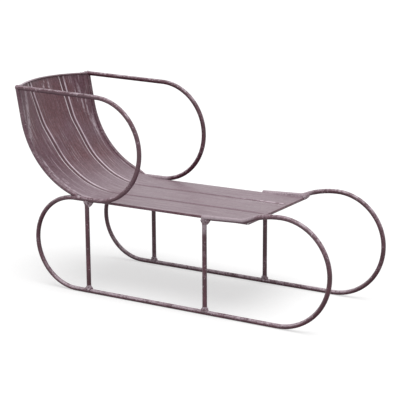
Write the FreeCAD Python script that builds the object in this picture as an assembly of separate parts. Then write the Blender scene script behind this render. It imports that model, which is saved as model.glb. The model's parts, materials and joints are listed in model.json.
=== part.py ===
import FreeCAD, Part
import math
import os

from FreeCAD import Vector

# Decorative sleigh of welded round rod with one bent sheet as seat and back.
# Millimetres. +X points to the nose, +Y to the left, +Z up.
# The origin lies on the floor under the middle of the overall box.
# Side view sizes are taken ahead of the rear arc's centre and above the bottom rail's axis.

# Rod and side frames, with all radii to the rod's axis
rod_diameter = 8.5              # 8 mm rod with its coat of paint
side_spacing = 224.0            # between the left and the right side frame, axis to axis
rail_length = 429.0             # straight part of the bottom rail
rear_arc_radius = 88.5
front_arc_radius = 100.0        # of the quarter from the bottom rail to the foremost point
crest_height = 17.0             # of the front arcs' top above the rods at the rear
crest_radius = 170.0            # of the flat curve from the top back to the kick
kick_radius = 25.0
rail_dip = 2.4                  # of the seat rail at the front upright, below the rods at the rear
rail_rise = 2.5                 # degrees that the seat rail climbs from there to the kick
rear_upright_x = 29.0
front_upright_setback = 145.0   # behind the front end of the straight bottom rail
cope_depth = 2.0                # how far an upright's end saddles the rod that it meets

# Arm loops
arm_arc_x = 51.5
arm_arc_radius = 96.5
arm_tilt = 1.6                  # degrees that the arm rises to the rear

# Seat and back sheet
seat_sink = 1.3                 # of the level seat below the axes of the rods at the rear
back_foot_x = 52.0              # where the level seat starts to curve up
back_arc_radius = 170.0
back_lean = 10.0                # degrees from upright at the top
back_bow = 28.5                 # how far the middle of the top edge stands back
back_bow_start = 62.0           # degrees of turn where the bow begins
crown_tilt = 15.0               # degrees that the bowed top edge tips up from square
seat_front_setback = 59.0       # of the seat's front edge behind the same end
sheet_thickness = 1.2
seam_gap = 0.2                  # between the sheet's edge and the rods beside it
lip_depth = 4.5                 # of the fold along the seat's sides and front
lip_bend_radius = 1.6           # outside of that fold
groove_spacing = 80.0           # between the two pressed grooves on the level seat
groove_top_spacing = 100.0      # between them at the top edge, as they fan out up the back
groove_width = 11.0
groove_depth = 1.6
groove_run_out = 8.0            # plain sheet left ahead of the grooves
rim_diameter = 4.0              # rolled top edge

# Welds
collar_height = 7.0             # up an upright from the rod that it stands on
collar_length = 13.0            # along that rod
collar_width = 10.2             # across that rod
collar_neck = 9.2               # across the upright at the collar's thin end
web_thickness = 5.0             # of the fillets ahead of the uprights' tops
web_bite = 1.0                  # how far a fillet's ends sink into the rods
rear_web_length = 13.0
front_web_length = 9.0
web_drop = 9.0
corner_ball_diameter = 9.8      # of the weld round the top corner of arm and back post
post_weld_length = 17.0         # taper from the back post's foot down onto the runner
post_weld_tip = 2.4
seam_bead_diameter = 4.0        # of the short welds along the sheet's edge
seam_bead_length = 12.0

# Worked out from the sizes above
rod_radius = rod_diameter / 2
rim_radius = rim_diameter / 2
side_y = side_spacing / 2
seat_height = 2 * rear_arc_radius
rail_height = seat_height - rail_dip
sheet_height = seat_height - seat_sink
front_upright_x = rail_length - front_upright_setback
seat_front_x = rail_length - seat_front_setback
crown_radius = seat_height + crest_height - front_arc_radius
crown_x = rail_length + front_arc_radius - crown_radius
back_top_turn = 90 - back_lean
sheet_edge_y = side_y - rod_radius - seam_gap


def polar(centre_x, centre_z, radius, angle):
    """Place at an angle on a circle in the side view, anticlockwise from +X."""
    turn = math.radians(angle)
    return centre_x + radius * math.cos(turn), centre_z + radius * math.sin(turn)


def back_point(turn):
    """Place on the seat's curve, by its turn from level in degrees."""
    return polar(back_foot_x, sheet_height + back_arc_radius, back_arc_radius, -90 - turn)


def arm_arc_point(angle):
    """Place on the arc round the front of the arm."""
    return polar(arm_arc_x, seat_height + arm_arc_radius, arm_arc_radius, angle)


def corner_of_arm_and_back():
    """Where the arm's axis meets the back post's, and the post's straight length up to it."""
    tilt = math.radians(arm_tilt)
    lean = math.radians(back_lean)
    arm_x, arm_z = arm_arc_point(90 - arm_tilt)
    post_x, post_z = back_point(back_top_turn)
    rise = arm_z - post_z + (arm_x - post_x) * math.tan(tilt)
    length = rise / (math.cos(lean) - math.sin(lean) * math.tan(tilt))
    return post_x - length * math.sin(lean), post_z + length * math.cos(lean), length


def overall_middle():
    """Middle of the overall length, from the bowed top edge to the front arcs."""
    lean = math.radians(back_lean)
    rise = math.radians(crown_tilt - back_lean)
    rim_x = corner_x + rim_radius * (math.sin(lean) + math.sin(rise)) - back_bow * math.cos(rise)
    front_end = rail_length + front_arc_radius + rod_radius
    return (rim_x - rim_radius + front_end) / 2


corner_x, corner_z, back_straight = corner_of_arm_and_back()
middle_x = overall_middle()


def side_point(x, z, y=0.0):
    """Point of the model from its place in the side view."""
    return Vector(x - middle_x, y, z + rod_radius)


def straight(start, end, y):
    """Straight stretch of a rod axis in the side view."""
    return Part.LineSegment(side_point(*start, y), side_point(*end, y)).toShape()


def bend(centre, radius, start_angle, end_angle, y):
    """Arc of a rod axis in the side view."""
    angles = (start_angle, (start_angle + end_angle) / 2, end_angle)
    points = [side_point(*polar(*centre, radius, angle), y) for angle in angles]
    return Part.Arc(*points).toShape()


def rod_along(edges, diameter):
    """Round rod swept along a path of lines and tangent arcs."""
    path = Part.Wire(edges)
    first = path.OrderedEdges[0]
    start = first.valueAt(first.FirstParameter)
    heading = first.tangentAt(first.FirstParameter)
    section = Part.Wire([Part.makeCircle(diameter / 2, start, heading)])
    return path.makePipeShell([section], True, False)


def cut_by(shape, neighbours):
    for neighbour in neighbours:
        shape = shape.cut(neighbour)
    return shape


def kick_bend():
    """Centre of the bend that turns the seat rail up into the crest, and the angle it turns to."""
    rise = math.radians(rail_rise)
    crest_x = crown_x
    crest_z = front_arc_radius + crown_radius - crest_radius
    back_x = crest_x - (front_upright_x - rod_radius)
    above = back_x * math.sin(rise) + (rail_height - crest_z) * math.cos(rise) + kick_radius
    back = math.sqrt((crest_radius + kick_radius) ** 2 - above ** 2)
    centre_x = crest_x - above * math.sin(rise) - back * math.cos(rise)
    centre_z = crest_z + above * math.cos(rise) - back * math.sin(rise)
    return (centre_x, centre_z), rail_rise + math.degrees(math.atan2(back, above))


def runner(y):
    """Bottom rail with its front and rear arcs, and the short seat rail at the front."""
    kick_centre, kick_angle = kick_bend()
    crest = (crown_x, front_arc_radius + crown_radius - crest_radius)
    rail_start = (front_upright_x - rod_radius, rail_height)
    rail_end = polar(*kick_centre, kick_radius, -90 + rail_rise)
    return rod_along([
        straight(rail_start, rail_end, y),
        bend(kick_centre, kick_radius, -90 + rail_rise, -90 + kick_angle, y),
        bend(crest, crest_radius, 90 + kick_angle, 90, y),
        bend((crown_x, front_arc_radius), crown_radius, 90, 0, y),
        bend((rail_length, front_arc_radius), front_arc_radius, 0, -90, y),
        straight((rail_length, 0), (0, 0), y),
        bend((0, rear_arc_radius), rear_arc_radius, 270, 90, y),
        straight((0, seat_height), (rear_upright_x, seat_height), y),
    ], rod_diameter)


def arm(y):
    """Rod that goes on from the runner's rear end, round the front of the arm and back."""
    arc_centre = (arm_arc_x, seat_height + arm_arc_radius)
    return rod_along([
        straight((rear_upright_x, seat_height), (arm_arc_x, seat_height), y),
        bend(arc_centre, arm_arc_radius, -90, 90 - arm_tilt, y),
        straight(arm_arc_point(90 - arm_tilt), (corner_x, corner_z), y),
    ], rod_diameter)


def post_foot_turn():
    """Turn of the seat's curve where the back post comes down onto the runner."""
    return math.degrees(math.acos(1 - (rod_diameter + seat_sink) / back_arc_radius))


def back_post(y, rods):
    """Rod beside the back's edge, coped to the arm above and to the runner below."""
    centre = (back_foot_x, sheet_height + back_arc_radius)
    post = rod_along([
        straight((corner_x, corner_z), back_point(back_top_turn), y),
        bend(centre, back_arc_radius, -90 - back_top_turn, -90 - post_foot_turn(), y),
    ], rod_diameter)
    return cut_by(post, rods)


def upright(x, rod_z, y, rods):
    """Post between the bottom rail and a rod above, saddled on the rods at both ends."""
    foot = rod_radius - cope_depth
    height = rod_z - 2 * foot
    return cut_by(Part.makeCylinder(rod_radius, height, side_point(x, foot, y)), rods)


def station_frame(turn, along=0.0):
    """Point of the sheet's mid line, with the directions into the seat and up the sheet."""
    angle = math.radians(turn)
    tangent = Vector(-math.cos(angle), 0, math.sin(angle))
    normal = Vector(math.sin(angle), 0, math.cos(angle))
    return side_point(*back_point(turn)) + tangent * along, normal, tangent


def bow_frame(turn, share):
    """Directions of the bow: back from the sheet, tipped up with its share, and square to it."""
    _, normal, tangent = station_frame(turn)
    tip = math.radians(crown_tilt * share)
    back_way = normal * -math.cos(tip) + tangent * math.sin(tip)
    return back_way, tangent * math.cos(tip) + normal * math.sin(tip)


def bow_height(y, bow):
    """Height of a circular bow above its chord, at y across the sheet."""
    if bow == 0:
        return 0.0
    radius = (sheet_edge_y ** 2 + bow ** 2) / (2 * bow)
    return math.sqrt(radius ** 2 - y ** 2) - (radius - bow)


def sheet_section(origin, back_way, bow, half_width, spacing):
    """Closed outline across the sheet, with panels and grooves on both faces."""
    half_groove = groove_width / 2
    groove_y = spacing / 2
    breaks = [-half_width, -groove_y - half_groove, -groove_y + half_groove,
              groove_y - half_groove, groove_y + half_groove, half_width]

    def place(y, depth):
        return origin + Vector(0, y, 0) + back_way * (bow_height(y, bow) + depth)

    def span(start, end, depth, in_groove):
        if not in_groove and bow == 0:
            return Part.LineSegment(place(start, depth), place(end, depth)).toShape()
        middle = place((start + end) / 2, depth + (groove_depth if in_groove else 0))
        return Part.Arc(place(start, depth), middle, place(end, depth)).toShape()

    half = sheet_thickness / 2
    spans = list(zip(breaks, breaks[1:]))
    front_face = [span(start, end, -half, index % 2) for index, (start, end) in enumerate(spans)]
    back_face = [span(end, start, half, index % 2) for index, (start, end) in enumerate(spans)]
    edge_there = Part.LineSegment(place(half_width, -half), place(half_width, half)).toShape()
    edge_back = Part.LineSegment(place(-half_width, half), place(-half_width, -half)).toShape()
    return Part.Wire(front_face + [edge_there] + back_face[::-1] + [edge_back])


def curved_back():
    """Sheet from the seat's end up to the top edge, bowed back more and more."""
    turn_steps = 8
    straight_steps = 3
    top_rise = back_straight - rim_radius
    stations = [(back_top_turn * step / turn_steps, 0.0) for step in range(turn_steps + 1)]
    for step in range(1, straight_steps + 1):
        stations.append((back_top_turn, top_rise * step / straight_steps))
    whole_run = math.radians(back_top_turn) * back_arc_radius + top_rise
    straight_below_bow = math.radians(back_bow_start) * back_arc_radius
    sections = []
    for turn, rise in stations:
        run = math.radians(turn) * back_arc_radius + rise
        share = max(0.0, (run - straight_below_bow) / (whole_run - straight_below_bow))
        spacing = groove_spacing + (groove_top_spacing - groove_spacing) * run / whole_run
        origin, _, _ = station_frame(turn, rise)
        back_way, _ = bow_frame(turn, share)
        sections.append(sheet_section(origin, back_way, back_bow * share, sheet_edge_y, spacing))
    return Part.makeLoft(sections, True, False)


def lip_profile(corner, outward):
    """Outline of a folded edge: a round bend and a short drop, from its sharp outer corner."""
    down = Vector(0, 0, -1)
    inward = outward * -1
    diagonal = (outward - down) * math.cos(math.radians(45))
    inner_radius = lip_bend_radius - sheet_thickness
    centre = corner + (inward + down) * lip_bend_radius
    top = corner + inward * lip_bend_radius
    side = corner + down * lip_bend_radius
    foot = corner + down * lip_depth
    inner_foot = foot + inward * sheet_thickness
    inner_side = side + inward * sheet_thickness
    inner_top = top + down * sheet_thickness
    edges = [
        Part.Arc(top, centre + diagonal * lip_bend_radius, side),
        Part.LineSegment(side, foot),
        Part.LineSegment(foot, inner_foot),
        Part.LineSegment(inner_foot, inner_side),
        Part.Arc(inner_side, centre + diagonal * inner_radius, inner_top),
        Part.LineSegment(inner_top, top),
    ]
    return Part.Face(Part.Wire([edge.toShape() for edge in edges]))


def level_seat():
    """Level part of the sheet, with its sides and front folded down."""
    half_width = sheet_edge_y - lip_bend_radius
    top = sheet_height + sheet_thickness / 2
    fold_x = seat_front_x - lip_bend_radius
    groove_end_x = seat_front_x - groove_run_out
    origin, normal, _ = station_frame(0)
    section = Part.Face(sheet_section(origin, normal * -1, 0, half_width, groove_spacing))
    panel = section.extrude(Vector(groove_end_x - back_foot_x, 0, 0))
    strip_corner = side_point(groove_end_x, top - sheet_thickness, -half_width)
    strip = Part.makeBox(fold_x - groove_end_x, 2 * half_width, sheet_thickness, strip_corner)
    front_corner = side_point(seat_front_x, top, -half_width)
    front = lip_profile(front_corner, Vector(1, 0, 0)).extrude(Vector(0, 2 * half_width, 0))
    folds = [strip, front]
    for way in (-1, 1):
        profile = lip_profile(side_point(back_foot_x, top, way * sheet_edge_y), Vector(0, way, 0))
        folds.append(profile.extrude(Vector(fold_x - back_foot_x, 0, 0)))
    return panel.multiFuse(folds)


def seat_sheet():
    """Seat and back in one bent sheet."""
    return level_seat().fuse(curved_back()).removeSplitter()


def back_rim():
    """Rolled top edge: a thin bowed rod on the sheet, from arm to arm."""
    back_way, up = bow_frame(back_top_turn, 1)
    origin, _, _ = station_frame(back_top_turn, back_straight - rim_radius)
    axis = origin + up * rim_radius
    ends = [axis + Vector(0, y, 0) for y in (-sheet_edge_y, sheet_edge_y)]
    return rod_along([Part.Arc(ends[0], axis + back_way * back_bow, ends[1]).toShape()], rim_diameter)


def weld_collar(x, y, rod_z, way):
    """Concave fillet of weld round an upright's end; way is 1 where the post goes up, -1 down."""
    start = rod_radius - cope_depth
    end = rod_radius + collar_height
    waist_share = 0.4
    waist_swell_share = 0.3
    sections = []
    for share, swell in ((0, 1), (waist_share, waist_swell_share), (1, 0)):
        z = rod_z + way * (start + (end - start) * share)
        length = collar_neck + (collar_length - collar_neck) * swell
        width = collar_neck + (collar_width - collar_neck) * swell
        if swell:
            outline = Part.Ellipse(side_point(x, z, y), length / 2, width / 2)
        else:
            outline = Part.Circle(side_point(x, z, y), Vector(0, 0, 1), length / 2)
        sections.append(Part.Wire([outline.toShape()]))
    return Part.makeLoft(sections, True, False)


def weld_web(x, rod_z, length, y):
    """Hollow fillet of weld in the corner ahead of an upright, under the rod above."""
    hollow_share = 0.3
    reach = rod_radius - web_bite
    ahead = Vector(1, 0, 0)
    down = Vector(0, 0, -1)
    root = side_point(x, rod_z, y - web_thickness / 2)
    inner = root + (ahead + down) * reach
    hollow = inner + (ahead * length + down * web_drop) * hollow_share
    tip = inner + ahead * length
    foot = inner + down * web_drop
    edges = [
        Part.LineSegment(root, tip - down * reach),
        Part.LineSegment(tip - down * reach, tip),
        Part.Arc(tip, hollow, foot),
        Part.LineSegment(foot, foot - ahead * reach),
        Part.LineSegment(foot - ahead * reach, root),
    ]
    face = Part.Face(Part.Wire([edge.toShape() for edge in edges]))
    return face.extrude(Vector(0, web_thickness, 0))


def ball(centre, diameter):
    return Part.makeSphere(diameter / 2, centre)


def joint_at_upright_top(x, rod_z, web_length, y):
    """Weld round an upright's top, with its fillet ahead."""
    return weld_collar(x, y, rod_z, -1).fuse(weld_web(x, rod_z, web_length, y))


def joint_at_post_foot(y):
    """Taper of weld from the back post's foot down onto the runner."""
    foot, _, tangent = station_frame(post_foot_turn())
    start = foot + Vector(0, y, 0)
    return Part.makeCone(rod_radius, post_weld_tip / 2, post_weld_length, start, tangent * -1)


def seam_bead(middle, way):
    """Short bead of weld with round ends, laid along a seam."""
    half = way * ((seam_bead_length - seam_bead_diameter) / 2)
    core = Part.makeCylinder(seam_bead_diameter / 2, half.Length * 2, middle - half, way)
    return core.multiFuse([ball(middle + end, seam_bead_diameter) for end in (-half, half)])


def seam_beads(y):
    """Welds that hold the sheet: behind the back, and under the seat beside arm and seat rail."""
    back_bead_shares = (0.1, 0.45)
    seam_y = y * (side_y - rod_radius) / side_y
    off_mid = (sheet_thickness + seam_bead_diameter / 2) / 2
    beads = []
    for share in back_bead_shares:
        origin, normal, tangent = station_frame(back_top_turn, back_straight * share)
        beads.append(seam_bead(origin + Vector(0, seam_y, 0) - normal * off_mid, tangent))
    ahead = Vector(1, 0, 0)
    arm_bead_x = (rear_upright_x + arm_arc_x) / 2
    beads.append(seam_bead(side_point(arm_bead_x, sheet_height - off_mid, seam_y), ahead))
    rail_bead_x = front_upright_x + 2 * seam_bead_length
    lip_foot_z = sheet_height + sheet_thickness / 2 - lip_depth
    rail_bead_z = lip_foot_z + seam_bead_diameter / 4
    beads.append(seam_bead(side_point(rail_bead_x, rail_bead_z, seam_y), ahead))
    return beads


def right_side_frame(sheet):
    """Pieces of the right side frame by name, each coped to its neighbours."""
    y = -side_y
    runner_rod = runner(y)
    arm_rod = arm(y)
    rods = [runner_rod, arm_rod]
    post = back_post(y, rods)
    rear = upright(rear_upright_x, seat_height, y, rods)
    front = upright(front_upright_x, rail_height, y, rods)
    welds = [
        weld_collar(rear_upright_x, y, 0, 1),
        weld_collar(front_upright_x, y, 0, 1),
        joint_at_upright_top(rear_upright_x, seat_height, rear_web_length, y),
        joint_at_upright_top(front_upright_x, rail_height, front_web_length, y),
        joint_at_post_foot(y),
        ball(side_point(corner_x, corner_z, y), corner_ball_diameter),
    ] + seam_beads(y)
    neighbours = rods + [post, rear, front, sheet]
    return {
        "runner": runner_rod,
        "arm": arm_rod,
        "back_post": post,
        "rear_upright": rear,
        "front_upright": front,
        "welds": Part.makeCompound([cut_by(weld, neighbours) for weld in welds]),
    }


def build():
    """All pieces by node name, the left side frame as a mirror image of the right one."""
    sheet = seat_sheet()
    pieces = {"seat_sheet": sheet, "back_rim": back_rim()}
    for name, shape in right_side_frame(sheet).items():
        pieces[name + "_right"] = shape
        pieces[name + "_left"] = shape.mirror(Vector(0, 0, 0), Vector(0, 1, 0))
    return pieces


os.makedirs("parts", exist_ok=True)
for name, shape in build().items():
    shape.exportStep("parts/" + name + ".step")
    print(name, len(shape.Solids), round(shape.Volume))
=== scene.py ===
import json
import math

import bmesh
import bpy
import numpy as np
from mathutils import Matrix, Vector


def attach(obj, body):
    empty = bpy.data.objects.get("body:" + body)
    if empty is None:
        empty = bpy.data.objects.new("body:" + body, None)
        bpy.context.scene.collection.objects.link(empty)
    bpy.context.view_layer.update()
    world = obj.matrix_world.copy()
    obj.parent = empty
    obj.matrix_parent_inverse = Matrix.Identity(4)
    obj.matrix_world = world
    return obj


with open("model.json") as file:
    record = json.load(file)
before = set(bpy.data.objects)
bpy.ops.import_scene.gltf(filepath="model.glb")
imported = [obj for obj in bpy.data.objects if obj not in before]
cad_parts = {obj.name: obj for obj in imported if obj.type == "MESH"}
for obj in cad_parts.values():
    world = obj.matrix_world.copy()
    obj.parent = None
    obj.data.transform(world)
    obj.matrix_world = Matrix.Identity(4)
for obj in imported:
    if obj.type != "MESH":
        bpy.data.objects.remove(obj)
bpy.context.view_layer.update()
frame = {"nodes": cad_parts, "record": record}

# Metres, in the part's own frame: +X to the nose, +Y to the left, floor at zero.

# Camera, at the photograph's angle
CAMERA_AZIMUTH = 31.406         # degrees from straight at the right side, towards the nose
CAMERA_ELEVATION = 13.562
CAMERA_ROLL = -0.311
CAMERA_PLACE = (1.23165, -1.98757, 0.74006)
CAMERA_LENS = 115.97            # in millimetres, as is the sensor's width
CAMERA_SENSOR = 36.0
CAMERA_REACH = 50.0

# Light and background
WORLD_LIGHT = 0.50
TOP_LIGHT = 1.75                # of the wide lamp overhead, in watts on a square metre
TOP_LAMP_WAY = (0.10, -0.15, 1.0)
FILL_LIGHT = 0.22               # of the lamp on the camera's side
FILL_LAMP_WAY = (0.5, -1.0, 0.5)
LAMP_SPREAD = 50.0              # degrees across, for soft shadows
FLOOR_ALBEDO = 0.30             # of the floor that lights the object from below
FLOOR_COLOUR = 0.55             # of the floor that is seen, which keeps the shadow
FLOOR_GLOW = 0.52               # added where it is seen, to meet the white behind it
FLOOR_HALF_WIDTH = 14.0

# Sheet, as in the part
SEAT_LEVEL = 0.17995            # mid line of the level seat
CURVE_RADIUS = 0.170            # of the seat's curve up into the back
BACK_RUN = 0.2925               # from the foot of that curve to the top edge
GROOVE_Y = 0.040                # of each groove's middle on the level seat
GROOVE_FAN = 0.25               # share that the grooves stand further apart at the top
GROOVE_EDGE = 0.0054            # from a groove's middle to its shoulders

# Rod frame, as in the part
ROD_RADIUS = 0.00425
SIDE_Y = 0.112                  # of each side frame's middle
BOTTOM_RAIL_Z = 0.00425
REAR_UPRIGHT = (-0.15980, 0.18095)      # x, and height of the rail above it
FRONT_UPRIGHT = (0.09520, 0.17885)
ARM_END_X = -0.3147             # of the arms' rear ends
ARM_END_Z = 0.3793              # of the arms' middle there
ARM_FALL = 0.028                # drop for each unit that the arm runs ahead

# Spots of wear, some also carrying painted light: middle, half width where it is full, half width
# where it has faded out
RAIL_SPOT_X = (0.142, 0.044, 0.062)     # both rails beside the seat's front
SEAM_SPOT_X = (0.142, 0.040, 0.048)     # weld metal in the left rail's seam there
LEFT_FOOT_X = (-0.160, 0.032, 0.048)    # rod beside the left arm's foot
RIGHT_FOOT_X = (-0.150, 0.016, 0.036)   # sheet beside the right arm's foot
RIGHT_FOOT_Y = (-0.103, 0.0035, 0.0090)
UPRIGHT_TOP_X = (FRONT_UPRIGHT[0], 0.006, 0.009)    # right front upright, under the seat
UPRIGHT_TOP_Z = (0.166, 0.008, 0.022)
RUDDY_Y = (0.0, 0.010, 0.050)           # redder patch in the middle of the back
RUDDY_Z = (0.325, 0.010, 0.055)
RIM_END_Y = (-0.090, 0.030, 0.085)      # barest stretch of the rim
BACK_FOOT = (0.14, 0.05, 0.14)          # foot of the back, in shares of the way up it
SHOULDERS = (GROOVE_EDGE, 0.0006, 0.0019)       # from each groove's middle

# Stretches of height over which wear and painted light fade in or out
FLOOR_RUB_AND_HIGHLIGHT = (0.015, 0.060)
SEAT_RODS = (0.140, 0.170)
SEAT_EDGE = (0.165, 0.172)
SEAM_FOOT = (0.1765, 0.1790)
ABOVE_SEAT = (0.190, 0.200)
ARM_RODS = (0.200, 0.240)
TOP_CORNERS = (0.365, 0.375)

# Such stretches in x and y
POST_FEET_X = (-0.174, -0.170)  # behind it lies the weld metal at the back posts' feet
DASHES_START_X = (0.05, 0.12)   # of the worn dashes along the left groove
DASHES_END_X = (0.166, 0.173)
LEFT_SIDE_Y = (0.0, 0.02)

# Such stretches of facing, from -1 for straight away to 1 for straight towards
UNDERSIDE = (-0.75, -0.05)
NOT_UNDER = (-0.55, 0.10)
LOWER_HALF = (-0.3, 0.4)
TOP_HALF = (0.0, 0.60)
TOP_THIRD = (0.15, 0.70)
CROWN = (0.45, 0.90)
LEVEL = (0.70, 0.985)
TURNED = (-0.1, 0.1)

# Such stretches of a noise's value, which lies round 0.5
SHARP_GRAIN = (0.36, 0.54)
SOFT_GRAIN = (0.25, 0.60)
WELD_RIDGES = (0.35, 0.50)

# Shares
POST_RUB_AND_HIGHLIGHT_SHARE = 0.35           # of the frame's pale rubbing and painted highlight that the back posts have
STROKE_CORE_SHARE = 0.3         # of a scraped mark that is fully bare

# Scraped marks on the back: y, z, slant, half width, half height, strength
SCRAPES = (
    (-0.0900, 0.325, 0.30, 0.0075, 0.070, 0.85),
    (-0.1025, 0.343, 0.00, 0.0018, 0.034, 0.85),
    (-0.1015, 0.213, 0.00, 0.0038, 0.046, 0.95),
    (-0.0910, 0.205, 0.00, 0.0050, 0.006, 0.80),
    (-0.1010, 0.193, 0.00, 0.0045, 0.005, 0.80),
    (0.0980, 0.278, 0.00, 0.0060, 0.028, 0.90),
    (0.0840, 0.330, 0.00, 0.0026, 0.040, 0.80),
    (0.0930, 0.312, 0.05, 0.0030, 0.036, 0.80),
    (0.0740, 0.342, 0.05, 0.0018, 0.022, 0.65),
    (-0.0060, 0.367, 0.00, 0.0040, 0.007, 0.80),
    (0.0100, 0.366, 0.20, 0.0035, 0.010, 0.85),
    (0.0000, 0.374, 0.00, 0.0020, 0.003, 0.80),
    (-0.0040, 0.262, 0.00, 0.0010, 0.045, 0.40),
    (-0.0100, 0.250, 0.00, 0.0012, 0.050, 0.45),
    (-0.0160, 0.240, 0.00, 0.0010, 0.040, 0.40),
)

# Noises: cells on a metre, detail, roughness, and what multiplies the cells along each axis
ROD_CLOUDS = (26.0, 4.0)
ROD_PATCHES = (55.0, 5.0, 0.65)
ROD_GRAIN = (260.0, 5.0, 0.7)
ROD_CHIPS = (70.0, 6.0, 0.75)
ROD_SCUFFS = (34.0, 6.0, 0.7)
ROD_FLECKS = (230.0, 2.0)
ROD_DENTS = (150.0, 3.0)
FINE_TOOTH = (1500.0, 2.0)
SHEET_CLOUDS = (13.0, 4.0, 0.5, (1.0, 1.6, 1.0))
SHEET_GRAIN = (230.0, 5.0, 0.75, (1.0, 1.3, 1.0))
SHEET_DENTS = (36.0, 2.0)
BROAD_STROKES = (1.0, 4.0, 0.6, (9.0, 150.0, 9.0))
BRUSH_STROKES = (1.0, 4.0, 0.6, (16.0, 330.0, 16.0))
HAIR_STROKES = (1.0, 2.0, 0.5, (45.0, 1100.0, 45.0))
TORN_STROKES = (1.0, 5.0, 0.7, (120.0, 420.0, 120.0))
SHOULDER_WEAR = (26.0, 4.0)
SHOULDER_DASHES = (1.0, 3.0, 0.5, (60.0, 90.0, 60.0))
RIM_CLOUDS = (30.0, 4.0)
RIM_PATCHES = (75.0, 5.0, 0.65)
RIM_DENTS = (200.0, 3.0)
WELD_LUMPS = (260.0, 4.0, 0.6)
WELD_PATCHES = (75.0, 3.0)

# Bumps: depth in metres, and strength
TOOTH_BUMP = (0.0002, 0.30)
HAIR_BUMP = (0.0002, 0.35)
ROD_BUMP = (0.0006, 0.45)
SHEET_BUMP = (0.0011, 0.30)
RIM_BUMP = (0.0005, 0.45)
WELD_BUMP = (0.0008, 0.50)

# Rough weld metal
WELD_CELL = 0.0004              # of the grid that joins its lumps into one skin
LUMP_HEIGHT = 0.00022           # of the waves that make that skin uneven
LUMP_WAVES = 14
WAVE_LENGTHS = (0.0016, 0.0050)
WELD_SEED = 7
PLACE_JITTER = 0.0004

# Rings round an upright's end: height above the saddle, how far each stands out beyond the
# rod along and across the rail, radius of its lumps, and their count
COLLAR_RINGS = ((0.0012, 0.0016, 0.0006, 0.0017, 12),
                (0.0036, 0.0008, 0.0004, 0.0014, 10))
TOP_COLLAR_SHARE = 0.8          # size of the lumps under the seat, of those on the bottom rail
RING_SPREAD = (0.75, 1.2)       # of the sizes of lumps, here and in the next two
ROW_SPREAD = (0.85, 1.15)
SPATTER_SPREAD = (0.8, 1.2)

# Fillets ahead of the uprights' tops
REAR_FILLET = 0.0085            # how far each reaches along the rail and down the upright
FRONT_FILLET = 0.0060
FILLET_HALF_SPACING = 0.0013    # of its two layers, across the rail
FILLET_DROP = 0.0004            # of its upper end's middle below the rail
FILLET_STAND = 0.0050           # of its lower end ahead of the upright's middle
FILLET_RADII = (0.0014, 0.0019, 0.0015)
FILLET_ROWS = ((1.0, 7), (0.7, 5), (0.4, 3))    # share of the reach, and count

# Rows of lumps on each side frame, as on the left one: start, end, radii on the way, count
TOP_CORNER_ROW = ((-0.3150, 0.1100, 0.3800), (-0.3205, 0.0960, 0.3799),
                  (0.0034, 0.0028, 0.0021), 8)
SEAT_CORNER_ROW = ((0.1665, 0.1064, 0.1808), (0.1835, 0.1074, 0.1846),
                   (0.0014, 0.0021, 0.0023), 9)

# Rows that fill the corner between the sheet's front edge and the left rail's rise
CORNER_FILL = (((0.1795, 0.1045, 0.1800), (0.1885, 0.1076, 0.1868)),
               ((0.1812, 0.1062, 0.1778), (0.1903, 0.1082, 0.1850)))
CORNER_FILL_RADII = (0.0018, 0.0023, 0.0019)
CORNER_FILL_COUNT = 9

# Rows that fill the seam between the sheet and the left rail, from the upright to that corner
SEAM_FILL = (((0.0980, 0.1069, 0.1797), (0.1800, 0.1069, 0.1803)),
             ((0.0980, 0.1080, 0.1808), (0.1800, 0.1078, 0.1822)),
             ((0.1400, 0.1082, 0.1822), (0.1850, 0.1080, 0.1845)))
SEAM_FILL_RADII = (0.0016, 0.0018, 0.0019)
SEAM_FILL_COUNT = 70

# Spatter on the right arm: stretch in x, count, radius, and distance from the rod's middle
SPATTER = ((-0.286, -0.262, 12, 0.0017, 0.0034),
           (-0.300, -0.205, 16, 0.0007, 0.0041))
SPATTER_TURNS = (math.radians(-60), math.radians(75))   # round the rod, from its outer side up
DROP_X = -0.2322                # of the one large drop
DROP_Y = -0.1148
DROP_RISE = 0.0024              # above the rod's middle
DROP_RADIUS = 0.0018


def camera_at_photo_angle():
    """Camera whose right, up and back directions follow from its azimuth, elevation and roll."""
    azimuth = math.radians(CAMERA_AZIMUTH)
    elevation = math.radians(CAMERA_ELEVATION)
    roll = math.radians(CAMERA_ROLL)
    back = Vector((math.sin(azimuth) * math.cos(elevation),
                   -math.cos(azimuth) * math.cos(elevation),
                   math.sin(elevation)))
    level = Vector((math.cos(azimuth), math.sin(azimuth), 0.0))
    upright = back.cross(level)
    right = level * math.cos(roll) + upright * math.sin(roll)
    up = upright * math.cos(roll) - level * math.sin(roll)
    turn = Matrix((right, up, back)).transposed().to_4x4()
    data = bpy.data.cameras.new("camera")
    data.lens = CAMERA_LENS
    data.sensor_width = CAMERA_SENSOR
    data.clip_end = CAMERA_REACH
    camera = bpy.data.objects.new("camera", data)
    camera.matrix_world = Matrix.Translation(Vector(CAMERA_PLACE)) @ turn
    bpy.context.scene.collection.objects.link(camera)
    bpy.context.scene.camera = camera


def soft_lamp(name, towards, strength):
    """Wide distant lamp in the given direction, which lights the whole floor alike."""
    data = bpy.data.lights.new(name, "SUN")
    data.angle = math.radians(LAMP_SPREAD)
    data.energy = strength
    lamp = bpy.data.objects.new(name, data)
    lamp.rotation_euler = Vector(towards).to_track_quat("Z", "Y").to_euler()
    bpy.context.scene.collection.objects.link(lamp)


def colour(red, green, blue):
    return (red, green, blue, 1.0)


def grey(level):
    return colour(level, level, level)


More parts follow.
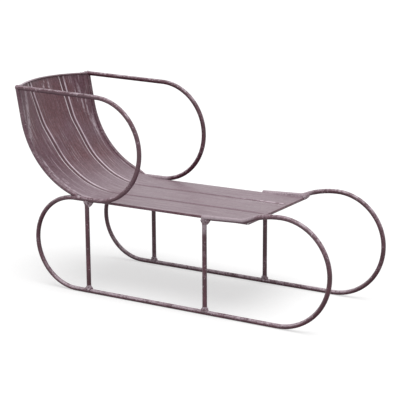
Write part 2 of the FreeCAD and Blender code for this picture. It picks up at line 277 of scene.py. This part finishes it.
WHITE = grey(1.0)
PLUM = colour(0.122, 0.040, 0.059)
DEEP_PLUM = colour(0.070, 0.0215, 0.0325)
RED_PLUM = colour(0.128, 0.036, 0.047)
GREY_PLUM = colour(0.116, 0.043, 0.068)
POST_PLUM = colour(0.185, 0.110, 0.132)
# rubbed paint, also painted light under the right side's upper rods
RUBBED_AND_LIT_PLUM = colour(0.25, 0.158, 0.190)
# worn paint with a painted sheen, on the level seat
SEAT_RUB_AND_SHEEN = colour(0.262, 0.188, 0.222)
# pale rubbing with a painted sheen, on the level seat and the rim's upper side
RUB_AND_SHEEN = colour(0.33, 0.25, 0.28)
# bare paint, also painted light over the shaded inner side of the rails beside the seat
RAIL_BARE_AND_LIT = colour(0.42, 0.335, 0.375)
WELD_BARE = colour(0.50, 0.40, 0.45)
# pale rubbing with a painted highlight, for the tops of rods and welds
ROD_RUB_AND_HIGHLIGHT = colour(0.33, 0.230, 0.272)
# pale wear, also the painted highlight on the bottom rails' tops
PALE_RUB_AND_HIGHLIGHT = colour(0.52, 0.42, 0.47)
LEFT_SHOULDER = colour(0.60, 0.49, 0.55)        # of each groove
RIGHT_SHOULDER = colour(0.86, 0.76, 0.81)


class Finish:
    """A material under way, with short calls to add and join its shader nodes."""

    def __init__(self, name):
        self.material = bpy.data.materials.new(name)
        self.material.use_nodes = True
        self.tree = self.material.node_tree
        self.shader = self.tree.nodes["Principled BSDF"]
        self.place = self.add("ShaderNodeTexCoord").outputs["Object"]
        self.ahead, self.side, self.height = (self.axis(self.place, name) for name in "XYZ")
        normal = self.add("ShaderNodeNewGeometry").outputs["Normal"]
        self.facing_ahead, self.facing_left, self.up = (self.axis(normal, name) for name in "XYZ")

    def add(self, kind, **settings):
        node = self.tree.nodes.new(kind)
        for key, value in settings.items():
            setattr(node, key, value)
        return node

    def join(self, source, socket):
        if hasattr(source, "links"):
            self.tree.links.new(source, socket)
        else:
            socket.default_value = source

    def math(self, operation, first, second=0.0):
        node = self.add("ShaderNodeMath", operation=operation)
        self.join(first, node.inputs[0])
        self.join(second, node.inputs[1])
        return node.outputs[0]

    def times(self, *values):
        result = values[0]
        for value in values[1:]:
            result = self.math("MULTIPLY", result, value)
        return result

    def axis(self, vector, name):
        node = self.add("ShaderNodeSeparateXYZ")
        self.join(vector, node.inputs[0])
        return node.outputs[name]

    def point(self, x, y, z):
        node = self.add("ShaderNodeCombineXYZ")
        for value, socket in zip((x, y, z), node.inputs):
            self.join(value, socket)
        return node.outputs[0]

    def noise(self, scale, detail, roughness=0.5, stretch=(1.0, 1.0, 1.0), place=None):
        """Noise on the object's own coordinates, or on a place worked out from them."""
        mapping = self.add("ShaderNodeMapping")
        self.join(place or self.place, mapping.inputs["Vector"])
        mapping.inputs["Scale"].default_value = [scale * share for share in stretch]
        node = self.add("ShaderNodeTexNoise")
        self.join(mapping.outputs["Vector"], node.inputs["Vector"])
        node.inputs["Scale"].default_value = 1.0
        node.inputs["Detail"].default_value = detail
        node.inputs["Roughness"].default_value = roughness
        return node.outputs["Fac"]

    def ramp(self, value, low, high, to_low=0.0, to_high=1.0):
        """Smooth step from to_low to to_high while the value goes from low to high."""
        node = self.add("ShaderNodeMapRange", interpolation_type="SMOOTHSTEP")
        self.join(value, node.inputs["Value"])
        for socket, number in (("From Min", low), ("From Max", high),
                               ("To Min", to_low), ("To Max", to_high)):
            node.inputs[socket].default_value = number
        return node.outputs["Result"]

    def fade(self, value, low, high):
        """1 up to low, falling to 0 at high."""
        return self.ramp(value, low, high, 1.0, 0.0)

    def near(self, value, middle, inner, outer):
        """1 where the value is within inner of its middle, falling to 0 at outer."""
        return self.fade(self.math("ABSOLUTE", self.math("SUBTRACT", value, middle)), inner, outer)

    def mix(self, share, first, second):
        node = self.add("ShaderNodeMix", data_type="RGBA")
        self.join(share, node.inputs[0])
        self.join(first, node.inputs[6])
        self.join(second, node.inputs[7])
        return node.outputs[2]

    def layer(self, base, over, *masks):
        """The base with a colour over it, as strong as the product of its masks and shares."""
        return self.mix(self.times(*masks), base, over)

    def bump(self, height, distance, strength, under=None):
        node = self.add("ShaderNodeBump")
        node.inputs["Distance"].default_value = distance
        node.inputs["Strength"].default_value = strength
        self.join(height, node.inputs["Height"])
        if under is not None:
            self.join(under, node.inputs["Normal"])
        return node.outputs["Normal"]

    def surface(self, base, roughness, normal):
        self.join(base, self.shader.inputs["Base Color"])
        self.join(roughness, self.shader.inputs["Roughness"])
        self.join(normal, self.shader.inputs["Normal"])
        return self.material


def frame_wear_and_light(m, base, grain, patchy):
    """Wear and painted light on the side frames: scuffing with a painted highlight on the bottom
    rails' tops, and bare paint round the seat's front and beside the left arm, carried onto faces
    in shade as painted light.
    """
    # scuffing and painted highlight: the bottom rails' upper side paler
    floor_rub_and_highlight = m.times(m.fade(m.height, *FLOOR_RUB_AND_HIGHLIGHT), m.ramp(m.up, *TOP_HALF),
                       m.ramp(grain, *SHARP_GRAIN, 0.3, 1.0),
                       m.ramp(patchy, 0.42, 0.56, 0.20, 0.95))
    base = m.layer(base, PALE_RUB_AND_HIGHLIGHT, floor_rub_and_highlight)
    outwards = m.times(m.math("SIGN", m.side), m.facing_left)
    # painted light: the bare paint beside the seat is carried onto faces turned towards it, which
    # lie in shade
    not_under = m.math("MAXIMUM", m.ramp(m.up, *NOT_UNDER), m.fade(outwards, *TURNED))
    beside_seat = m.times(m.near(m.ahead, *RAIL_SPOT_X), m.ramp(m.height, *SEAT_EDGE), not_under)
    base = m.layer(base, RAIL_BARE_AND_LIT, beside_seat, m.ramp(grain, *SOFT_GRAIN, 0.65, 0.98))
    under_seat = m.times(m.near(m.ahead, *UPRIGHT_TOP_X), m.near(m.height, *UPRIGHT_TOP_Z),
                         m.fade(m.side, *LEFT_SIDE_Y), m.ramp(grain, *SHARP_GRAIN, 0.35, 0.95))
    base = m.layer(base, RAIL_BARE_AND_LIT, under_seat)
    left_foot = m.times(m.near(m.ahead, *LEFT_FOOT_X), m.ramp(m.side, *LEFT_SIDE_Y),
                        m.ramp(m.height, *SEAT_EDGE), m.fade(m.height, *ABOVE_SEAT), not_under)
    return m.layer(base, RAIL_BARE_AND_LIT, left_foot, m.ramp(grain, *SOFT_GRAIN, 0.60, 0.95))


def rod_paint(name, dark, light, on_frame):
    """Plum-brown paint on round rod, rubbed pale along its top with a painted highlight there,
    painted shade underneath and on the left side, and painted light under the right side's upper
    rods; the back posts are plainer.
    """
    m = Finish(name)
    grain = m.noise(*ROD_GRAIN)
    patchy = m.noise(*ROD_PATCHES)
    on_left = m.ramp(m.side, -0.02, 0.02)
    rub_and_highlight_share = 1.0 if on_frame else POST_RUB_AND_HIGHLIGHT_SHARE

    base = m.mix(m.ramp(m.noise(*ROD_CLOUDS), 0.34, 0.66), dark, light)
    pits = m.ramp(grain, 0.40, 0.52, 0.6, 0.0)
    base = m.layer(base, DEEP_PLUM, pits)
    # painted shade: the left side darker overall, and the undersides darker, the more so on the
    # left
    base = m.layer(base, DEEP_PLUM, on_left, 0.35)
    shade = m.times(m.ramp(m.up, *UNDERSIDE, 0.8, 0.0), m.ramp(on_left, 0.0, 1.0, 0.5, 1.0))
    base = m.layer(base, DEEP_PLUM, shade)
    # painted light: the lower half of the right side's upper rods paler
    right_above = m.times(m.fade(on_left, 0.0, 1.0), m.ramp(m.height, *SEAT_RODS),
                          m.fade(m.up, *LOWER_HALF))
    base = m.layer(base, RUBBED_AND_LIT_PLUM, right_above, 0.40)

    # wear and painted highlight: the upper side of the rods paler
    on_crown = m.math("MAXIMUM", m.ramp(m.up, *CROWN), m.ramp(m.height, *ARM_RODS, 1.0, 0.35))
    top_rub_and_highlight = m.times(m.ramp(m.up, *TOP_HALF), m.ramp(patchy, 0.34, 0.54, 0.40, 1.0),
                      m.ramp(grain, 0.40, 0.54, 0.15, 1.0), on_crown)
    base = m.layer(base, ROD_RUB_AND_HIGHLIGHT, top_rub_and_highlight, rub_and_highlight_share)
    chips = m.times(m.ramp(m.up, *TOP_THIRD), m.ramp(m.noise(*ROD_CHIPS), 0.50, 0.58))
    base = m.layer(base, PALE_RUB_AND_HIGHLIGHT, chips, 0.8 * rub_and_highlight_share)
    scuffs = m.times(m.ramp(m.noise(*ROD_SCUFFS), 0.53, 0.63), m.ramp(grain, 0.44, 0.56))
    base = m.layer(base, RUBBED_AND_LIT_PLUM, scuffs, 0.8)
    if on_frame:
        base = frame_wear_and_light(m, base, grain, patchy)
    flecks = m.times(m.ramp(m.noise(*ROD_FLECKS), 0.66, 0.70), m.ramp(m.up, -0.4, 0.3))
    base = m.layer(base, PALE_RUB_AND_HIGHLIGHT, flecks, 0.9)

    rough = m.ramp(grain, 0.3, 0.7, 0.28, 0.46)
    m.join(m.ramp(m.up, -0.6, 0.1, 0.08, 0.5), m.shader.inputs["Specular IOR Level"])
    fine = m.bump(m.noise(*FINE_TOOTH), *TOOTH_BUMP)
    return m.surface(base, rough, m.bump(m.noise(*ROD_DENTS), *ROD_BUMP, fine))


def up_the_back(m):
    """Share of the way up the back: the turn that the height gives, times the curve's radius."""
    climb = m.math("DIVIDE", m.math("SUBTRACT", m.height, SEAT_LEVEL), CURVE_RADIUS)
    turn = m.math("ARCCOSINE", m.math("SUBTRACT", 1.0, m.math("MAXIMUM", climb, 0.0)))
    return m.math("MULTIPLY", turn, CURVE_RADIUS / BACK_RUN)


def scrape(m, mark):
    """A scraped mark on the back, as a slanted stroke that the caller breaks up by noise."""
    middle_y, middle_z, slant, half_width, half_height, strength = mark
    line = m.math("SUBTRACT", m.side, m.times(m.math("SUBTRACT", m.height, middle_z), slant))
    width = m.near(line, middle_y, half_width * STROKE_CORE_SHARE, half_width)
    extent = m.near(m.height, middle_z, half_height * STROKE_CORE_SHARE, half_height)
    return m.times(width, extent, strength)


def sheet_paint():
    """Plum-brown paint brushed along the sheet, worn pale on the grooves' shoulders, with painted
    shade in the grooves' beds and wear with a painted sheen on the level seat.
    """
    m = Finish("sheet_paint")
    share_up = up_the_back(m)
    on_back = m.ramp(share_up, 0.03, 0.28)
    inner_face = m.ramp(m.math("ADD", m.facing_ahead, m.up), *TURNED)
    fan = m.math("ADD", m.times(share_up, GROOVE_FAN), 1.0)
    across = m.math("DIVIDE", m.side, fan)
    combed = m.point(m.ahead, across, m.height)
    broad = m.noise(*BROAD_STROKES, combed)
    brushed = m.noise(*BRUSH_STROKES, combed)
    hair = m.noise(*HAIR_STROKES, combed)
    grain = m.noise(*SHEET_GRAIN)

    patch = m.times(m.near(m.height, *RUDDY_Z), m.near(m.side, *RUDDY_Y), 0.3)
    ruddy = m.math("ADD", m.noise(*SHEET_CLOUDS), patch)
    base = m.mix(m.ramp(ruddy, 0.36, 0.66), GREY_PLUM, RED_PLUM)
    base = m.layer(base, DEEP_PLUM, m.ramp(grain, 0.40, 0.58, 0.88, 0.0))
    base = m.layer(base, RUBBED_AND_LIT_PLUM, m.ramp(grain, 0.52, 0.66, 0.0, 0.42))
    base = m.layer(base, RUBBED_AND_LIT_PLUM, m.ramp(broad, 0.50, 0.74, 0.0, 0.30))
    base = m.layer(base, RUBBED_AND_LIT_PLUM, m.ramp(hair, 0.50, 0.68, 0.0, 0.34))
    # wear and painted sheen: the level seat paler than the back
    level = m.ramp(m.up, *LEVEL)
    base = m.layer(base, SEAT_RUB_AND_SHEEN, level, m.ramp(grain, 0.36, 0.62, 0.58, 0.88))
    base = m.layer(base, RUB_AND_SHEEN, level, m.ramp(brushed, 0.50, 0.66), 0.45)

    outer_strip = m.ramp(m.math("ABSOLUTE", across), 0.050, 0.072)
    scoured = m.math("MAXIMUM", m.times(m.near(share_up, *BACK_FOOT), 0.55),
                     m.times(on_back, m.ramp(outer_strip, 0.0, 1.0, 0.26, 0.50)))
    base = m.layer(base, PALE_RUB_AND_HIGHLIGHT, m.ramp(brushed, 0.52, 0.66), m.ramp(broad, 0.40, 0.56), scoured)
    torn = m.times(m.ramp(m.noise(*TORN_STROKES, combed), 0.40, 0.56), inner_face)
    for mark in SCRAPES:
        base = m.layer(base, PALE_RUB_AND_HIGHLIGHT, scrape(m, mark), torn)
    by_foot = m.times(m.near(m.ahead, *RIGHT_FOOT_X), m.near(m.side, *RIGHT_FOOT_Y))
    base = m.layer(base, PALE_RUB_AND_HIGHLIGHT, by_foot, torn, 0.9)

    in_groove = m.math("SUBTRACT", m.math("ABSOLUTE", m.side), m.times(fan, GROOVE_Y))
    off_groove = m.math("ABSOLUTE", in_groove)
    # painted shade in the grooves' beds, stronger up the back
    groove_bed = m.fade(off_groove, 0.0024, 0.0042)
    base = m.layer(base, DEEP_PLUM, groove_bed, m.ramp(on_back, 0.0, 1.0, 0.34, 0.85))
    worn = m.times(m.ramp(m.noise(*SHOULDER_WEAR), 0.30, 0.50, 0.55, 1.0),
                   m.ramp(share_up, 0.02, 0.20))
    dashes = m.times(m.ramp(m.noise(*SHOULDER_DASHES), 0.40, 0.50),
                     m.ramp(m.ahead, *DASHES_START_X), m.fade(m.ahead, *DASHES_END_X),
                     m.ramp(m.side, 0.0, 0.01), inner_face)
    left_of_middle = m.ramp(m.times(m.math("SIGN", m.side), in_groove), -0.002, 0.002)
    edge = m.mix(left_of_middle, RIGHT_SHOULDER, LEFT_SHOULDER)
    shoulder = m.near(off_groove, *SHOULDERS)
    base = m.layer(base, edge, shoulder, m.math("MAXIMUM", worn, dashes), 0.97)

    rough = m.ramp(broad, 0.3, 0.7, 0.34, 0.48)
    fine = m.bump(hair, *HAIR_BUMP)
    return m.surface(base, rough, m.bump(m.noise(*SHEET_DENTS), *SHEET_BUMP, fine))


def rim_paint():
    """The rods' paint on the rolled top edge, rubbed nearly bare along its crown, its upper side
    paler as wear and painted highlight.
    """
    m = Finish("rim_paint")
    base = m.mix(m.ramp(m.noise(*RIM_CLOUDS), 0.35, 0.65), DEEP_PLUM, PLUM)
    # wear and painted highlight: the rim's upper side paler
    rim_rub_and_highlight = m.times(m.ramp(m.up, -0.3, 0.5), m.ramp(m.noise(*RIM_PATCHES), 0.34, 0.56, 0.3, 1.0))
    base = m.layer(base, RUB_AND_SHEEN, rim_rub_and_highlight, 0.8)
    base = m.layer(base, PALE_RUB_AND_HIGHLIGHT, m.near(m.side, *RIM_END_Y), m.ramp(m.up, -0.6, 0.2), 0.9)
    fine = m.bump(m.noise(*FINE_TOOTH), *TOOTH_BUMP)
    return m.surface(base, 0.45, m.bump(m.noise(*RIM_DENTS), *RIM_BUMP, fine))


def weld_paint():
    """Thin paint over rough weld metal: pale on the ridges and tops, dark in the pits."""
    m = Finish("weld_paint")
    lumps = m.noise(*WELD_LUMPS)
    patchy = m.ramp(m.noise(*WELD_PATCHES), 0.40, 0.54)
    base = m.mix(m.ramp(lumps, 0.32, 0.50), DEEP_PLUM, POST_PLUM)
    bare = m.times(m.ramp(m.up, -0.8, 0.2, 0.55, 1.0), m.ramp(lumps, 0.40, 0.52),
                   m.ramp(patchy, 0.0, 1.0, 0.35, 1.0))
    base = m.layer(base, WELD_BARE, bare)

    smoother = m.math("MAXIMUM", m.ramp(m.height, *TOP_CORNERS), m.fade(m.ahead, *POST_FEET_X))
    # wear and painted highlight: the welds at the top corners and post feet paler where they face
    # up
    top_rub_and_highlight = m.times(m.ramp(m.up, 0.1, 0.8), m.ramp(lumps, *WELD_RIDGES, 0.5, 1.0))
    base = m.layer(base, m.mix(top_rub_and_highlight, PLUM, ROD_RUB_AND_HIGHLIGHT), smoother, 0.75)
    left_seam = m.times(m.near(m.ahead, *SEAM_SPOT_X), m.ramp(m.side, *LEFT_SIDE_Y),
                        m.ramp(m.height, *SEAM_FOOT))
    base = m.layer(base, RAIL_BARE_AND_LIT, left_seam, m.ramp(lumps, *WELD_RIDGES, 0.70, 0.95))
    rough = m.ramp(lumps, 0.4, 0.6, 0.60, 0.36)
    return m.surface(base, rough, m.bump(lumps, *WELD_BUMP))


def rings_round(x, y, rod_z, way, size, chance):
    """Lumps in two rings round an upright's end; way is 1 where the post goes up, -1 down."""
    lumps = []
    for off_rod, off_x, off_y, radius, count in COLLAR_RINGS:
        turns = np.arange(count) * (2 * np.pi / count) + chance.uniform(0, 1)
        jitter = chance.uniform(-PLACE_JITTER, PLACE_JITTER, (count, 3))
        saddle = ROD_RADIUS * np.abs(np.cos(turns))
        places = np.stack([x + (ROD_RADIUS + off_x) * np.cos(turns),
                           y + (ROD_RADIUS + off_y) * np.sin(turns),
                           rod_z + way * (saddle + off_rod)], axis=1) + jitter
        lumps += [(place, radius * size * chance.uniform(*RING_SPREAD)) for place in places]
    return lumps


def row_along(start, end, radii, count, chance):
    """A row of lumps from start to end, whose radius goes from the first of radii to the last."""
    shares = np.linspace(0.0, 1.0, count)
    places = np.outer(1 - shares, start) + np.outer(shares, end)
    places += chance.uniform(-PLACE_JITTER, PLACE_JITTER, places.shape)
    sizes = np.interp(shares, np.linspace(0.0, 1.0, len(radii)), radii)
    return [(place, size * chance.uniform(*ROW_SPREAD)) for place, size in zip(places, sizes)]


def fillet_ahead(upright, y, extent, chance):
    """Lumps across the corner between an upright's top and the rail, on its front."""
    x, rail_z = upright
    under = rail_z - ROD_RADIUS
    lumps = []
    for off_y in (-FILLET_HALF_SPACING, FILLET_HALF_SPACING):
        for share, count in FILLET_ROWS:
            reach = ROD_RADIUS + share * extent
            top = (x + reach, y + off_y, under - FILLET_DROP)
            foot = (x + FILLET_STAND, y + off_y, under - share * extent)
            lumps += row_along(top, foot, FILLET_RADII, count, chance)
    return lumps


def side_welds(side, chance):
    """Lumps of one side frame's welds; side is 1 on the left, -1 on the right."""
    y = side * SIDE_Y
    lumps = []
    for upright, extent in ((REAR_UPRIGHT, REAR_FILLET), (FRONT_UPRIGHT, FRONT_FILLET)):
        x, rail_z = upright
        lumps += rings_round(x, y, BOTTOM_RAIL_Z, 1, 1.0, chance)
        lumps += rings_round(x, y, rail_z, -1, TOP_COLLAR_SHARE, chance)
        lumps += fillet_ahead(upright, y, extent, chance)
    mirror = np.array((1, side, 1))
    for start, end, radii, count in (TOP_CORNER_ROW, SEAT_CORNER_ROW):
        lumps += row_along(mirror * start, mirror * end, radii, count, chance)
    if side > 0:
        for start, end in CORNER_FILL:
            lumps += row_along(start, end, CORNER_FILL_RADII, CORNER_FILL_COUNT, chance)
        seam_chance = np.random.default_rng(WELD_SEED)
        for start, end in SEAM_FILL:
            lumps += row_along(start, end, SEAM_FILL_RADII, SEAM_FILL_COUNT, seam_chance)
    return lumps


def arm_middle(x):
    """Height of the arms' middle, near their rear ends."""
    return ARM_END_Z - (x - ARM_END_X) * ARM_FALL


def arm_spatter(chance):
    """Lumps and drops of weld metal on the right arm's rear end."""
    lumps = []
    for low, high, count, radius, depth in SPATTER:
        x = chance.uniform(low, high, count)
        turns = chance.uniform(*SPATTER_TURNS, count)
        places = np.stack([x, -SIDE_Y - depth * np.cos(turns),
                           arm_middle(x) + depth * np.sin(turns)], axis=1)
        lumps += [(place, radius * chance.uniform(*SPATTER_SPREAD)) for place in places]
    lumps.append(((DROP_X, DROP_Y, arm_middle(DROP_X) + DROP_RISE), DROP_RADIUS))
    return lumps


def joined_balls(name, lumps):
    """Mesh of one skin round all the lumps, on a fine grid."""
    form = bmesh.new()
    for place, radius in lumps:
        bmesh.ops.create_icosphere(form, subdivisions=2, radius=radius,
                                   matrix=Matrix.Translation(Vector(place)))
    balls = bpy.data.meshes.new(name + "_balls")
    form.to_mesh(balls)
    form.free()
    shaper = bpy.data.objects.new(name + "_balls", balls)
    bpy.context.scene.collection.objects.link(shaper)
    joined = shaper.modifiers.new("joined", "REMESH")
    joined.mode = "VOXEL"
    joined.voxel_size = WELD_CELL
    evaluated = shaper.evaluated_get(bpy.context.evaluated_depsgraph_get())
    skin = bpy.data.meshes.new_from_object(evaluated)
    bpy.data.objects.remove(shaper)
    bpy.data.meshes.remove(balls)
    return skin


def roughen(skin):
    """Moves each point of the skin along its normal by a sum of sine waves of its place.

    The waves' directions, lengths and phases are drawn from the seed.
    """
    count = len(skin.vertices)
    places = np.empty(count * 3)
    normals = np.empty(count * 3)
    skin.vertices.foreach_get("co", places)
    skin.vertices.foreach_get("normal", normals)
    places = places.reshape(count, 3)
    normals = normals.reshape(count, 3)
    chance = np.random.default_rng(WELD_SEED)
    ways = chance.normal(size=(LUMP_WAVES, 3))
    ways /= np.linalg.norm(ways, axis=1, keepdims=True)
    waves = ways * (2 * np.pi / chance.uniform(*WAVE_LENGTHS, (LUMP_WAVES, 1)))
    height = np.sin(places @ waves.T + chance.uniform(0, 2 * np.pi, LUMP_WAVES)).sum(axis=1)
    places += normals * (height * (LUMP_HEIGHT / math.sqrt(LUMP_WAVES / 2)))[:, None]
    skin.vertices.foreach_set("co", places.ravel())


def rough_weld(name, lumps, paint):
    """Weld metal: balls joined into one skin, then made uneven."""
    skin = joined_balls(name, lumps)
    roughen(skin)
    skin.polygons.foreach_set("use_smooth", np.ones(len(skin.polygons), dtype=bool))
    skin.update()
    skin.name = name
    skin.materials.clear()
    skin.materials.append(paint)
    piece = bpy.data.objects.new(name, skin)
    bpy.context.scene.collection.objects.link(piece)
    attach(piece, "root")


def add_weld_metal(paint):
    """Uneven weld metal over the part's plain weld beads, and spatter on the right arm."""
    chance = np.random.default_rng(WELD_SEED)
    rough_weld("rough_welds_left", side_welds(1, chance), paint)
    rough_weld("rough_welds_right", side_welds(-1, chance), paint)
    rough_weld("arm_spatter", arm_spatter(chance), paint)


def plain_floor():
    """Pale floor that fades into the background and keeps the object's shadow."""
    half = FLOOR_HALF_WIDTH
    corners = [(-half, -half, 0), (half, -half, 0), (half, half, 0), (-half, half, 0)]
    data = bpy.data.meshes.new("floor")
    data.from_pydata(corners, [], [(0, 1, 2, 3)])
    floor = bpy.data.objects.new("floor", data)
    bpy.context.scene.collection.objects.link(floor)
    m = Finish("floor")
    m.tree.nodes.remove(m.shader)
    lit = m.add("ShaderNodeBsdfDiffuse")
    lit.inputs["Color"].default_value = grey(FLOOR_ALBEDO)
    shaded = m.add("ShaderNodeBsdfDiffuse")
    shaded.inputs["Color"].default_value = grey(FLOOR_COLOUR)
    glow = m.add("ShaderNodeEmission")
    glow.inputs["Strength"].default_value = FLOOR_GLOW
    seen = m.add("ShaderNodeAddShader")
    m.join(shaded.outputs[0], seen.inputs[0])
    m.join(glow.outputs[0], seen.inputs[1])
    rays = m.add("ShaderNodeLightPath").outputs
    direct = m.math("MAXIMUM", rays["Is Camera Ray"],
                    m.math("MAXIMUM", rays["Is Glossy Ray"], rays["Is Transmission Ray"]))
    both = m.add("ShaderNodeMixShader")
    m.join(direct, both.inputs[0])
    m.join(lit.outputs[0], both.inputs[1])
    m.join(seen.outputs[0], both.inputs[2])
    m.join(both.outputs[0], m.tree.nodes["Material Output"].inputs["Surface"])
    data.materials.append(m.material)


def background():
    """Even studio light, seen as white by the camera and in reflections."""
    world = bpy.data.worlds.new("studio")
    bpy.context.scene.world = world
    world.use_nodes = True
    tree = world.node_tree
    light = tree.nodes["Background"]
    light.inputs["Color"].default_value = WHITE
    light.inputs["Strength"].default_value = WORLD_LIGHT
    seen = tree.nodes.new("ShaderNodeBackground")
    seen.inputs["Color"].default_value = WHITE
    seen.inputs["Strength"].default_value = 1.0
    rays = tree.nodes.new("ShaderNodeLightPath").outputs
    source = rays["Is Camera Ray"]
    for name in ("Is Glossy Ray", "Is Transmission Ray"):
        either = tree.nodes.new("ShaderNodeMath")
        either.operation = "MAXIMUM"
        tree.links.new(source, either.inputs[0])
        tree.links.new(rays[name], either.inputs[1])
        source = either.outputs[0]
    both = tree.nodes.new("ShaderNodeMixShader")
    tree.links.new(source, both.inputs[0])
    tree.links.new(light.outputs[0], both.inputs[1])
    tree.links.new(seen.outputs[0], both.inputs[2])
    tree.links.new(both.outputs[0], tree.nodes["World Output"].inputs["Surface"])


def dress_nodes():
    """Gives each CAD node the finish of its material slot, and the back posts their own."""
    finish = {"painted_rod": rod_paint("rod_paint", DEEP_PLUM, PLUM, True),
              "painted_sheet": sheet_paint(),
              "painted_rim": rim_paint(),
              "worn_weld": weld_paint()}
    post_finish = rod_paint("post_paint", GREY_PLUM, POST_PLUM, False)
    for part in frame["record"]["subparts"]:
        name = part["node"]
        node = frame["nodes"][name]
        is_post = name.startswith("back_post")
        node.data.materials.clear()
        node.data.materials.append(post_finish if is_post else finish[part["material_slot"]])
    add_weld_metal(finish["worn_weld"])


camera_at_photo_angle()
background()
plain_floor()
soft_lamp("top_lamp", TOP_LAMP_WAY, TOP_LIGHT)
soft_lamp("fill_lamp", FILL_LAMP_WAY, FILL_LIGHT)
dress_nodes()

bpy.context.scene.view_settings.view_transform = "Standard"
